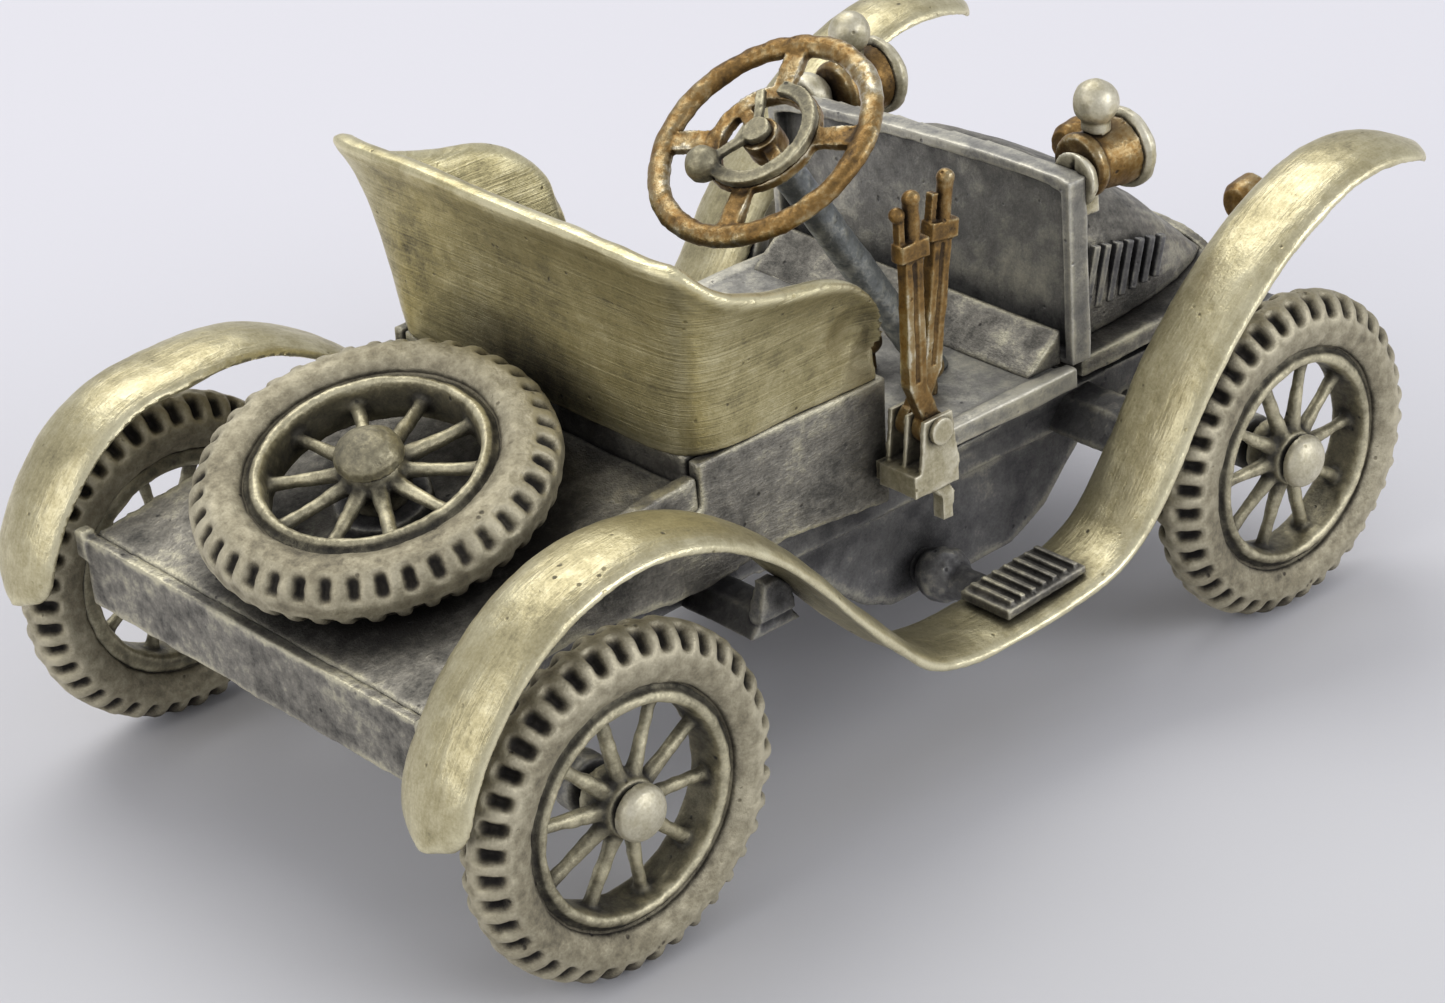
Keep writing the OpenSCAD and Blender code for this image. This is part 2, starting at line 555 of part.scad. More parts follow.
// blade runs up beside the pivot at distance off, so the two levers stand apart
module lever_shape(hook, off) {
  difference() {
    union() {
      rotate([90, 0, 0]) translate([0, 0, -0.42]) cylinder(h = 0.84, r = 1.1, $fn = 32);
      side_plate([[-0.7, 0.5], [0.7, 0.5], [off + 0.75, 3.2], [off + 0.75, 12.2],
        [off - 0.75, 12.2], [off - 0.75, 3.2]], -0.42, 0.42);
    }
    rotate([90, 0, 0]) translate([0, 0, -2]) cylinder(h = 4, r = 0.5 + run_gap, $fn = 32);
    for (s = [-1, 1]) box([off - 0.18, s * 0.42 - 0.12, 3.4], [off + 0.18, s * 0.42 + 0.12, 11.4]);
  }
  translate([off, 0, 11.6]) difference() {
    cylinder(h = 1.2, r = 1.25, $fn = 24);
    for (s = [-1, 1]) box([-3, s > 0 ? 0.56 : -3, -1], [3, s > 0 ? 3 : -0.56, 3]);
  }
  translate([off + 0.15, 0, 12.6]) cylinder(h = lever_len - 13.2, r = 0.52, $fn = 20);
  translate([off + 0.15, 0, lever_len - 0.6]) sphere(r = 0.58, $fn = 20);
  box([off - 1.15, -0.3, 12.6], [off - 0.65, 0.3, 14.6]);
  if (hook) translate([off - 1.0, 0, 14.7]) sphere(r = 0.5, $fn = 20);
}
module gear_lever() { color(brass) lever_frame(lever_y1, lean1) lever_shape(false, 1.1); }
module brake_lever() { color(brass) lever_frame(lever_y2, lean2) lever_shape(true, -1.1); }
module lever_bracket() {
  z0 = lever_z - 2.9;
  color(bright) place() {
    difference() {
      union() {
        for (y = [lever_y1 + 0.75, (lever_y1 + lever_y2) / 2, lever_y2 - 0.75])
          side_plate([[lever_x - 1.7, z0], [lever_x + 1.7, z0], [lever_x + 1.2, lever_z + 0.9],
            [lever_x - 1.2, lever_z + 0.9]], y - 0.17, y + 0.17);
        box([lever_x - 2.2, lever_y2 - 0.92, z0 - 1.1], [lever_x + 1.5, lever_y1 + 0.92, z0 + 0.4]);
      }
      translate([lever_x, 0, lever_z]) rotate([90, 0, 0]) cylinder(h = 30, r = 0.5, $fn = 32);
    }
    box([lever_x - 2.0, lever_y1 + 0.9, z0 - 1.0], [lever_x + 0.4, -14.82, z0 + 0.3]);
    side_plate([[lever_x - 0.6, z0 - 1.0], [lever_x + 0.9, z0 - 1.0], [lever_x + 1.3, z0 - 1.9],
      [lever_x + 1.1, z0 - 3.6], [lever_x + 0.3, z0 - 3.6], [lever_x + 0.3, z0 - 2.1]],
      lever_y2 - 0.7, lever_y2 + 0.2);
  }
}
module lever_pin() {
  color(bright) place() translate([lever_x, lever_y1 + 0.95, lever_z]) rotate([90, 0, 0]) {
    cylinder(h = lever_y1 - lever_y2 + 1.9, r = 0.5, $fn = 32);
    translate([0, 0, lever_y1 - lever_y2 + 1.87]) cylinder(h = 0.4, r = 0.9, $fn = 32);
  }
}
module pedals() {
  color(brass) place() for (y = [-4.2, -9.8]) {
    translate([38.2, y, floor_z]) cylinder(h = 2.0, r = 0.45, $fn = 20);
    translate([38.2, y, floor_z + 2.0]) sphere(r = 0.95, $fn = 24);
  }
}

chassis_frame();
under_pan();
rear_axle_beam();
front_axle_beam();
rear_springs();
front_springs();
rear_axle_rod();
front_axle_rod();
wheel_rear_right();
wheel_rear_left();
wheel_front_right();
wheel_front_left();
tyre_rear_right();
tyre_rear_left();
tyre_front_right();
tyre_front_left();
spare_wheel();
spare_tyre();
spare_stud();
spare_rest();
rear_deck();
tail_panel();
quarter_panels();
seat_base();
seat_shell();
seat_cushion();
floor_plate();
toe_board();
dash_frame();
hood();
hood_skirt();
hood_louvers();
radiator_plate();
fender_right();
fender_left();
step_plates();
body_blocks();
rear_stays();
front_stays();
board_brackets();
cowl_lamps();
lamp_rims();
lamp_caps();
lamp_brackets();
front_lamps();
front_lamp_posts();
steering_column();
steering_wheel();
steering_quadrant();
lever_bracket();
lever_pin();
gear_lever();
brake_lever();
pedals();
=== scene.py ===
import json
import math

import bpy
import numpy as np
from mathutils import Matrix, Vector


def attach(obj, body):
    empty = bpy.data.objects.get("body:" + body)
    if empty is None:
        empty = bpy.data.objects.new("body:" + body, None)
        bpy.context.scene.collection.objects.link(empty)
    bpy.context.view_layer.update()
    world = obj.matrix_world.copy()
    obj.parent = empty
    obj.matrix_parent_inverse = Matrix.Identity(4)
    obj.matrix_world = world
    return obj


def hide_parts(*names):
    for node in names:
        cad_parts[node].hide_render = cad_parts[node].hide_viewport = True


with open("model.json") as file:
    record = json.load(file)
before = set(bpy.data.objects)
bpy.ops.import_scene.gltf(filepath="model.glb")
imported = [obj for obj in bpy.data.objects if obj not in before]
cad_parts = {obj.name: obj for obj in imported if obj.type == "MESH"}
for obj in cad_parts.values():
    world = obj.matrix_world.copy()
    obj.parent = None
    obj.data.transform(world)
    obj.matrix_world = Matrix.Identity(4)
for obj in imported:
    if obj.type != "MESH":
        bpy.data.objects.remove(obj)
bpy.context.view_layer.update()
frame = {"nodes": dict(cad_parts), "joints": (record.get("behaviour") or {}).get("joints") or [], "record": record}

MM = 0.001
JOINT = {j["name"]: j for j in frame["joints"]}
RX = JOINT["wheel_rr_spin"]["pos_m"][0] / MM        # rear axle along X
WB = JOINT["wheel_fr_spin"]["pos_m"][0] / MM - RX   # wheelbase
R = JOINT["wheel_rr_spin"]["pos_m"][2] / MM         # tyre radius
HALF = abs(JOINT["wheel_rr_spin"]["pos_m"][1]) / MM


# ---------------------------------------------------------------- shapes, in mm from the rear axle
def vnoise(p, seed=0):
    """Smooth value noise from -1 to 1 at points p (n, 3)."""
    i = np.floor(p).astype(np.int64)
    f = p - i
    f = f * f * (3 - 2 * f)
    total = np.zeros(len(p))
    for dx in (0, 1):
        for dy in (0, 1):
            for dz in (0, 1):
                n = ((i[:, 0] + dx) * 73856093) ^ ((i[:, 1] + dy) * 19349663)
                n = (n ^ ((i[:, 2] + dz) * 83492791) ^ (seed * 2654435761)) & 0x7FFFFFFF
                n = ((n ^ (n >> 13)) * 1274126177) & 0x7FFFFFFF
                h = ((n ^ (n >> 16)) & 0xFFFF) / 32767.5 - 1
                w = np.where(dx, f[:, 0], 1 - f[:, 0]) * np.where(dy, f[:, 1], 1 - f[:, 1])
                total += h * w * np.where(dz, f[:, 2], 1 - f[:, 2])
    return total


def spline(points, per):
    """Catmull-Rom curve through the points, per samples a segment."""
    p = np.array(points, float)
    q = np.vstack([2 * p[0] - p[1], p, 2 * p[-1] - p[-2]])
    out = []
    for i in range(1, len(q) - 2):
        a, b, c, d = q[i - 1], q[i], q[i + 1], q[i + 2]
        for k in range(per):
            t = k / per
            out.append(0.5 * (2 * b + (c - a) * t + (2 * a - 5 * b + 4 * c - d) * t * t
                              + (3 * b - a - 3 * c + d) * t ** 3))
    out.append(p[-1])
    return np.array(out)


def loft(rings, closed=False):
    """Closed skin over rings of equal point count, with end caps unless it closes on itself."""
    m, n = len(rings), len(rings[0])
    v = np.vstack([np.array(r, float) for r in rings])
    f = []
    for i in range(m if closed else m - 1):
        for j in range(n):
            a, b = i * n + j, i * n + (j + 1) % n
            c, d = ((i + 1) % m) * n + (j + 1) % n, ((i + 1) % m) * n + j
            f.append((a, b, c, d))
    if not closed:
        f.append(tuple(range(n - 1, -1, -1)))
        f.append(tuple((m - 1) * n + j for j in range(n)))
    return v, f


def lathe(profile, n=64):
    """Solid of revolution round Z from a closed (radius, z) outline."""
    rings = []
    for k in range(n):
        a = 2 * math.pi * k / n
        rings.append([(r * math.cos(a), r * math.sin(a), z) for r, z in profile])
    return loft(rings, closed=True)


def tube(path, radius, n=14):
    """Round bar along a path; radius is one number or one for each point."""
    p = np.array(path, float)
    r = np.broadcast_to(np.array(radius, float), (len(p),))
    t = np.gradient(p, axis=0)
    t /= np.linalg.norm(t, axis=1)[:, None]
    ref = np.array([0.0, 0, 1]) if abs(t[0][2]) < 0.9 else np.array([1.0, 0, 0])
    rings = []
    for i in range(len(p)):
        u = np.cross(ref, t[i])
        u /= np.linalg.norm(u)
        w = np.cross(t[i], u)
        ref = w if i == 0 else ref
        rings.append([p[i] + r[i] * (u * math.cos(2 * math.pi * k / n)
                                     + w * math.sin(2 * math.pi * k / n)) for k in range(n)])
    return loft(rings)


def moved(part, m):
    v, f = part
    m = np.array(m, float)
    return v @ m[:3, :3].T + m[:3, 3], f


def mirrored(part):
    v, f = part
    return v * np.array([1.0, -1, 1]), [tuple(reversed(x)) for x in f]


def node_part(name):
    """A CAD node's own mesh as a part, in mm from the rear axle."""
    me = frame["nodes"][name].data
    co = np.empty(len(me.vertices) * 3, np.float32)
    me.vertices.foreach_get("co", co)
    v = co.reshape(-1, 3).astype(float) / MM - np.array([RX, 0, 0])
    return v, [tuple(p.vertices) for p in me.polygons]


# ---------------------------------------------------------------- meshes
def raw_mesh(name, parts):
    vs, fs, base = [], [], 0
    for v, f in parts:
        vs.append(v)
        fs += [tuple(i + base for i in x) for x in f]
        base += len(v)
    me = bpy.data.meshes.new(name)
    me.from_pydata(np.vstack(vs).tolist(), [], fs)
    me.validate()
    me.update()
    return me


def relax(co, normals, lumps, seed):
    d = np.zeros(len(co))
    for k, (size, depth) in enumerate(lumps):
        d += depth * vnoise(co / size + 31.7 * k, seed + k)
    return co + normals * d[:, None]


def hollows(me, co, normals, rounds):
    """How far each point lies in a hollow (above 0) or on an edge (below 0), in mm, kept on the mesh."""
    e = np.empty(len(me.edges) * 2, np.int32)
    me.edges.foreach_get("vertices", e)
    a, b = e.reshape(-1, 2).T
    n = len(co)
    deg = np.maximum(np.bincount(a, minlength=n) + np.bincount(b, minlength=n), 1)
    q = co.copy()
    for _ in range(rounds):
        s = np.stack([np.bincount(a, q[b, k], n) + np.bincount(b, q[a, k], n) for k in range(3)], 1)
        q = 0.5 * q + 0.5 * s / deg[:, None]
    cav = ((q - co) * normals).sum(1)
    at = me.attributes.new("hollow", "FLOAT", "POINT")
    at.data.foreach_set("value", cav.astype(np.float32))


def finish_mesh(me, lumps, seed, shift=True, rounds=16):
    """Adds the casting's lumps along the normals, then turns mm into metres in the shared frame."""
    n = len(me.vertices)
    co = np.empty(n * 3, np.float32)
    me.vertices.foreach_get("co", co)
    no = np.empty(n * 3, np.float32)
    me.vertex_normals.foreach_get("vector", no)
    co = relax(co.reshape(-1, 3).astype(float), no.reshape(-1, 3), lumps, seed)
    hollows(me, co, no.reshape(-1, 3), rounds)
    if shift:
        co = co + np.array([RX, 0, 0])
    me.vertices.foreach_set("co", (co * MM).astype(np.float32).ravel())
    me.polygons.foreach_set("use_smooth", np.ones(len(me.polygons), bool))
    me.update()


def cast_mesh(name, parts, voxel, soft, lumps, seed=1, shift=True):
    """One cast skin over the parts: remeshed, softened and slightly lumpy."""
    me = raw_mesh(name + "_raw", parts)
    ob = bpy.data.objects.new(name + "_raw", me)
    bpy.context.scene.collection.objects.link(ob)
    rm = ob.modifiers.new("r", "REMESH")
    rm.mode = "VOXEL"
    rm.voxel_size = voxel
    rm.adaptivity = 0.0
    if soft:
        sm = ob.modifiers.new("s", "SMOOTH")
        sm.factor = 0.5
        sm.iterations = soft
    dg = bpy.context.evaluated_depsgraph_get()
    out = bpy.data.meshes.new_from_object(ob.evaluated_get(dg))
    out.name = name
    bpy.data.objects.remove(ob)
    bpy.data.meshes.remove(me)
    finish_mesh(out, lumps, seed, shift)
    return out


def piece(name, me, mat, body, nodes, matrix=None):
    ob = bpy.data.objects.new(name, me)
    if not me.materials:
        me.materials.append(mat)
    bpy.context.scene.collection.objects.link(ob)
    if matrix is not None:
        ob.matrix_world = matrix
    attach(ob, body)
    if nodes:
        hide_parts(*nodes)
    return ob


# ---------------------------------------------------------------- materials
class Nodes:
    def __init__(self, name):
        self.mat = bpy.data.materials.new(name)
        self.mat.use_nodes = True
        self.t = self.mat.node_tree
        self.t.nodes.clear()
        self.out = self.t.nodes.new("ShaderNodeOutputMaterial")
        self.bsdf = self.t.nodes.new("ShaderNodeBsdfPrincipled")
        self.t.links.new(self.bsdf.outputs[0], self.out.inputs[0])
        self.coord = self.t.nodes.new("ShaderNodeTexCoord").outputs["Object"]

    def put(self, socket, value):
        if isinstance(value, bpy.types.NodeSocket):
            self.t.links.new(value, socket)
        elif value is not None:
            socket.default_value = value

    def mapping(self, scale, turn=(0, 0, 0)):
        n = self.t.nodes.new("ShaderNodeMapping")
        self.put(n.inputs["Vector"], self.coord)
        n.inputs["Rotation"].default_value = [math.radians(a) for a in turn]
        n.inputs["Scale"].default_value = [s / MM for s in scale]
        return n.outputs[0]

    def noise(self, scale, detail=3.0, rough=0.55, turn=(0, 0, 0), distort=0.0):
        """Noise with scale cycles a millimetre; three numbers stretch it."""
        s = scale if isinstance(scale, tuple) else (scale,) * 3
        n = self.t.nodes.new("ShaderNodeTexNoise")
        self.put(n.inputs["Vector"], self.mapping(s, turn))
        n.inputs["Scale"].default_value = 1.0
        n.inputs["Detail"].default_value = detail
        n.inputs["Roughness"].default_value = rough
        n.inputs["Distortion"].default_value = distort
        return n.outputs["Fac"]

    def cells(self, scale):
        n = self.t.nodes.new("ShaderNodeTexVoronoi")
        self.put(n.inputs["Vector"], self.mapping((scale,) * 3))
        n.inputs["Scale"].default_value = 1.0
        return n.outputs["Distance"]

    def math(self, op, a, b=None, clamp=False):
        n = self.t.nodes.new("ShaderNodeMath")
        n.operation = op
        n.use_clamp = clamp
        self.put(n.inputs[0], a)
        self.put(n.inputs[1], b)
        return n.outputs[0]

    def span(self, x, a, b, c=0.0, d=1.0):
        n = self.t.nodes.new("ShaderNodeMapRange")
        n.interpolation_type = "SMOOTHSTEP"
        self.put(n.inputs["Value"], x)
        for k, v in zip(("From Min", "From Max", "To Min", "To Max"), (a, b, c, d)):
            n.inputs[k].default_value = v
        return n.outputs["Result"]

    def ramp(self, x, stops):
        n = self.t.nodes.new("ShaderNodeValToRGB")
        e = n.color_ramp.elements
        while len(e) < len(stops):
            e.new(0.5)
        for k, (pos, col) in enumerate(stops):
            e[k].position = pos
            e[k].color = (*col, 1)
        self.put(n.inputs[0], x)
        return n.outputs[0]

    def mix(self, f, a, b):
        n = self.t.nodes.new("ShaderNodeMix")
        n.data_type = "RGBA"
        self.put(n.inputs[0], f)
        self.put(n.inputs[6], a)
        self.put(n.inputs[7], b)
        return n.outputs[2]

    # Ambient occlusion used as a colour mask: painted shade in sheltered places.
    def painted_shade_occlusion(self, reach):
        n = self.t.nodes.new("ShaderNodeAmbientOcclusion")
        n.samples = 2
        n.inputs["Distance"].default_value = reach * MM
        return n.outputs["AO"]

    def hollow(self):
        n = self.t.nodes.new("ShaderNodeAttribute")
        n.attribute_name = "hollow"
        return n.outputs["Fac"]

    def bump(self, height, depth):
        n = self.t.nodes.new("ShaderNodeBump")
        n.inputs["Strength"].default_value = 1.0
        n.inputs["Distance"].default_value = depth * MM
        self.put(n.inputs["Height"], height)
        self.put(self.bsdf.inputs["Normal"], n.outputs[0])


def lin(r, g, b):
    return tuple((c / 255 / 12.92) if c / 255 <= 0.04045 else ((c / 255 + 0.055) / 1.055) ** 2.4
                 for c in (r, g, b))


def aged_metal_with_painted_shade(name, stops, wear=0.0, brush=None, rough=(0.7, 0.46), metal=(0.5, 0.88),
               reach=2.4, blotch=0.5, grain=0.03):
    """Cast metal: dark oxide in its hollows and rubbed bright on sharp edges, plus painted shade where ambient
    occlusion finds it sheltered and painted light where it is open.
    """
    m = Nodes(name)
    large = m.noise(0.16, 2.0)
    mid = m.noise(0.9, 3.0, 0.65)
    fine = m.noise(5.0, 2.0, 0.7)
    # Painted shade: ambient occlusion darkens the colour under and between parts, mixed with the oxide in hollows
    # and the rubbed edges.
    ao = m.span(m.painted_shade_occlusion(reach), 0.3, 1.0)
    edge = m.span(m.hollow(), 0.09, -0.09)
    w = m.math("MULTIPLY", ao, 0.62)
    w = m.math("ADD", w, m.math("MULTIPLY", m.math("SUBTRACT", edge, 0.5), 0.62))
    w = m.math("ADD", w, m.math("MULTIPLY", m.math("SUBTRACT", large, 0.5), blotch * 1.5))
    w = m.math("ADD", w, m.math("MULTIPLY", m.math("SUBTRACT", mid, 0.5), blotch))
    w = m.math("ADD", w, m.math("MULTIPLY", m.math("SUBTRACT", fine, 0.5), 0.35))
    w = m.math("ADD", w, wear)
    height = m.math("ADD", m.math("MULTIPLY", fine, 0.6), m.math("MULTIPLY", mid, 1.2))
    if brush:
        scale, turn, amount = brush
        lines = m.noise(scale, 3.0, 0.75, turn)
        w = m.math("ADD", w, m.math("MULTIPLY", m.math("SUBTRACT", lines, 0.5), amount))
        height = m.math("ADD", height, m.math("MULTIPLY", lines, 1.6))
    hole = m.span(m.cells(0.85), 0.05, 0.16)
    rare = m.span(m.noise(0.5, 2.0), 0.52, 0.6)
    hole = m.math("MAXIMUM", hole, m.math("SUBTRACT", 1.0, rare))
    w = m.math("SUBTRACT", w, m.math("MULTIPLY", m.math("SUBTRACT", 1.0, hole), 0.35))
    height = m.math("ADD", height, m.math("MULTIPLY", hole, 1.2))
    w = m.math("MAXIMUM", m.math("MINIMUM", w, 1.0), 0.0)
    m.put(m.bsdf.inputs["Base Color"], m.ramp(w, stops))
    m.put(m.bsdf.inputs["Roughness"], m.span(w, 0.0, 1.0, rough[0], rough[1]))
    m.put(m.bsdf.inputs["Metallic"], m.span(w, 0.1, 0.7, metal[0], metal[1]))
    m.bump(height, grain)
    return m.mat


DARK = lin(34, 31, 29)
M = {
    "tyre": aged_metal_with_painted_shade("tyre_cast", [(0.0, DARK), (0.3, lin(88, 82, 70)), (0.62, lin(158, 150, 127)),
                                     (1.0, lin(208, 200, 174))], -0.05, None, (0.78, 0.56), (0.4, 0.75),
                       reach=1.6, grain=0.07),
    "wheel": aged_metal_with_painted_shade("wheel_cast", [(0.0, DARK), (0.35, lin(88, 85, 76)), (0.7, lin(158, 151, 126)),
                                       (1.0, lin(220, 212, 180))], -0.04, reach=2.2, grain=0.05),
    "bright": aged_metal_with_painted_shade("rubbed_cast", [(0.0, DARK), (0.3, lin(104, 98, 84)), (0.65, lin(188, 180, 150)),
                                         (1.0, lin(236, 230, 208))], 0.08, reach=1.6),
    "fender": aged_metal_with_painted_shade("fender_brushed", [(0.0, DARK), (0.3, lin(100, 94, 74)),
                                            (0.62, lin(186, 176, 138)), (1.0, lin(234, 226, 190))],
                         0.02, ((0.35, 3.0, 0.35), (0, 0, 0), 0.3), (0.55, 0.34), reach=3.0, blotch=0.42),
    "seat": aged_metal_with_painted_shade("seat_brushed", [(0.0, DARK), (0.3, lin(102, 95, 72)),
                                        (0.62, lin(188, 177, 132)), (1.0, lin(236, 227, 186))],
                       0.02, ((0.07, 0.07, 7.0), (3, -4, 0), 0.6), (0.5, 0.32), reach=3.4, blotch=0.5),
    "body": aged_metal_with_painted_shade("body_cast", [(0.0, DARK), (0.35, lin(88, 86, 81)), (0.68, lin(150, 146, 136)),
                                     (1.0, lin(212, 206, 180))], -0.06, ((1.2, 1.2, 4.0), (10, 20, 0), 0.25),
                       (0.68, 0.46), reach=4.0, blotch=0.7, grain=0.05),
    "dark": aged_metal_with_painted_shade("dark_cast", [(0.0, lin(30, 29, 30)), (0.4, lin(84, 83, 84)),
                                     (0.75, lin(134, 133, 131)), (1.0, lin(190, 186, 170))], -0.04,
                       None, (0.72, 0.5), (0.4, 0.85), reach=3.2, blotch=0.6, grain=0.05),
    # Lighter grey copy of the body metal: painted light, so the inside of the dash frame reads as lit; the floor
    # plate uses it too.
    "painted_lit_pale": aged_metal_with_painted_shade("painted_lit_pale_cast", [(0.0, lin(44, 43, 42)), (0.35, lin(110, 109, 106)),
                                     (0.68, lin(156, 154, 148)), (1.0, lin(212, 208, 192))], 0.1,
                       None, (0.66, 0.46), (0.3, 0.75), reach=2.4, blotch=0.75, grain=0.05),
    "column": aged_metal_with_painted_shade("column_cast", [(0.0, lin(46, 48, 50)), (0.4, lin(94, 98, 100)),
                                         (0.75, lin(134, 138, 138)), (1.0, lin(186, 186, 178))], 0.02,
                         ((1.5, 1.5, 1.5), (0, 0, 0), 0.4), (0.6, 0.42), reach=2.0),
    "brass": aged_metal_with_painted_shade("brass_wash", [(0.0, lin(38, 28, 20)), (0.34, lin(84, 66, 42)),
                                       (0.62, lin(146, 115, 68)), (0.84, lin(172, 152, 112)),
                                       (1.0, lin(216, 208, 184))], -0.04, None, (0.6, 0.36),
                        (0.6, 0.95), reach=1.8, blotch=0.75, grain=0.05),
}

# ---------------------------------------------------------------- road wheels
LUGS, PER = 40, 12                     # slots on a shoulder, and points round for each
LUMPY = [(2.2, 0.06), (0.8, 0.045), (0.35, 0.02)]
SOFT = [(3.5, 0.06), (1.1, 0.03)]


def tyre_parts(lug_deep, lug_long, slim):
    """Closed tyre skin: bulged walls and a row of slots on each shoulder."""
    half = [(7.72, 1.2), (7.85, 1.5), (8.2, 1.74), (8.75, 1.92), (9.4, 1.95), (10.0, 1.8),
            (10.5, 1.52), (10.88, 1.12), (11.1, 0.62), (11.14, 0.0)]
    line = half + [(r, -z) for r, z in half[-2::-1]]
    prof = spline([(r, z) for r, z in line], 4)
    seg = np.linalg.norm(np.diff(prof, axis=0), axis=1)
    s = np.concatenate([[0], np.cumsum(seg)])
    tan = np.gradient(prof, axis=0)
    tan /= np.linalg.norm(tan, axis=1)[:, None]
    nor = np.stack([-tan[:, 1], tan[:, 0]], 1)
    nor *= np.sign((nor * (prof - np.array([9.4, 0]))).sum(1))[:, None]
    mids = [s[np.argmin(np.abs(prof[:, 0] - 10.66) + (prof[:, 1] * k < 0) * 9)] for k in (1, -1)]
    rings = []
    count = LUGS * PER
    uneven = 1 + 0.3 * vnoise(np.array([[k // PER * 1.7, 0.5, 0.5] for k in range(count + PER)]), 5)
    for k in range(count):
        a = 2 * math.pi * k / count
        wob = 0.5 + 0.5 * math.cos(2 * math.pi * k / PER)
        deep = lug_deep * uneven[(k + PER // 2) % count]
        row = []
        for j, (r, z) in enumerate(prof):
            cutin = 0.0
            for q, mid in enumerate(mids):
                w = max(0.0, 1 - ((s[j] - mid) / lug_long) ** 2)
                cutin += deep * min(1.0, w * 1.3) * wob ** slim
            rr, zz = np.array([r, z]) - nor[j] * cutin
            row.append((rr * math.cos(a), rr * math.sin(a), zz))
        row.append((7.3 * math.cos(a), 7.3 * math.sin(a), -1.0))
        row.append((7.3 * math.cos(a), 7.3 * math.sin(a), 1.0))
        rings.append(row)
    return loft(rings, closed=True)


def wheel_parts(turn):
    """Rim with a raised lip, ten tapered spokes and a hub barrel."""
    rim = [(6.5, -1.1), (6.75, -1.42), (7.7, -1.35), (7.86, -1.0), (7.86, 0.95), (7.6, 1.2), (7.36, 1.24),
           (7.25, 1.55), (6.95, 1.7), (6.66, 1.58), (6.52, 1.2), (6.46, 0.4), (6.46, -0.6)]
    parts = [lathe(rim, 120)]
    hub = [(1.0, -1.4), (1.9, -1.4), (1.95, -0.9), (1.9, 0.9), (1.8, 1.3), (1.4, 1.4), (1.0, 1.4)]
    parts.append(lathe(hub, 48))
    for i in range(10):
        a = math.radians(turn + 36 * i)
        p = [(r * math.cos(a), r * math.sin(a), z) for r, z in
             ((1.4, 0.42), (2.2, 0.38), (3.4, 0.28), (4.8, 0.18), (6.0, 0.1), (6.9, 0.05))]
        parts.append(tube(p, [0.66, 0.56, 0.47, 0.41, 0.44, 0.6], 14))
    return parts


def rot_to(side):
    return Matrix.Rotation(math.radians(-90 * side), 4, "X")


ROAD_TYRE = tyre_parts(0.85, 1.15, 1.9)
for tag, x, side, where in (("rr", 0, -1, "rear_right"), ("rl", 0, 1, "rear_left"),
                            ("fr", WB, -1, "front_right"), ("fl", WB, 1, "front_left")):
    at = Matrix.Translation(Vector((RX + x, side * HALF, R)) * MM) @ rot_to(side)
    turn = {"rr": 0, "rl": 14, "fr": 9, "fl": 21}[tag]
    spin = Matrix.Rotation(math.radians(turn), 4, "Z")
    body = "wheel_" + tag
    tyre_me = raw_mesh("tyre_" + tag, [moved(ROAD_TYRE, spin)])
    finish_mesh(tyre_me, LUMPY, 11 + turn, shift=False)
    wheel_me = cast_mesh("wheel_" + tag, wheel_parts(27.0 + turn), 0.14, 3, LUMPY, 12 + turn, shift=False)
    piece("tyre_" + where + "_skin", tyre_me, M["tyre"], body, ["tyre_" + where], at)
    piece("wheel_" + where + "_skin", wheel_me, M["wheel"], body, ["wheel_" + where], at)

# ---------------------------------------------------------------- spare wheel
SPARE_AT = (RX + 1.0, 0, 25.4)         # centre of the spare's outer face, mm
SPARE_ROLL, SPARE_TILT = 7, -15        # degrees round X and Y
SPARE_SCALE = 1.03                     # its size against a road wheel
SPARE_FACE = 1.45                      # wheel centre to that face, mm
SPARE = (Matrix.Translation(Vector(SPARE_AT) * MM) @ Matrix.Rotation(math.radians(SPARE_ROLL), 4, "X")
         @ Matrix.Rotation(math.radians(SPARE_TILT), 4, "Y") @ Matrix.Scale(SPARE_SCALE, 4)
         @ Matrix.Translation(Vector((0, 0, -SPARE_FACE)) * MM))
spare_me = raw_mesh("tyre_spare", [tyre_parts(0.62, 0.95, 2.2)])
finish_mesh(spare_me, LUMPY, 21, shift=False)
piece("spare_tyre_skin", spare_me, M["tyre"], "chassis", ["spare_tyre"], SPARE)
spare_wheel_me = cast_mesh("wheel_spare", wheel_parts(24.5), 0.14, 3, LUMPY, 22, shift=False)
piece("spare_wheel_skin", spare_wheel_me, M["wheel"], "chassis", ["spare_wheel"], SPARE)

# ---------------------------------------------------------------- fenders
FENDER = [(-12.3, 13.2), (-11.5, 16.8), (-9.7, 20.0), (-7.0, 22.9), (-3.6, 25.1), (0.4, 26.2),
          (4.4, 26.1), (8.2, 24.9), (11.8, 22.6), (15.0, 19.5), (18.0, 16.0), (21.0, 12.8),
          (24.0, 10.2), (27.5, 9.2), (32.0, 9.1), (37.0, 9.5), (40.6, 10.3), (43.4, 12.1),
          (46.2, 15.4), (49.0, 19.3), (52.2, 22.7), (56.0, 25.8), (59.8, 27.9), (63.5, 29.1),
          (66.8, 29.3), (69.6, 28.7), (72.0, 27.4)]


def closer(p):
    """The left fender's rear arch sits closer to its wheel."""
    w = max(0.0, min(1.0, (16 - p[0]) / 14))
    k = w * (0.5 if p[0] < -6 else 0.5 + 1.1 * min(1.0, (p[0] + 6) / 7))
    a = np.array([p[0], p[1] - R])
    return np.array(p) - a / np.linalg.norm(a) * k


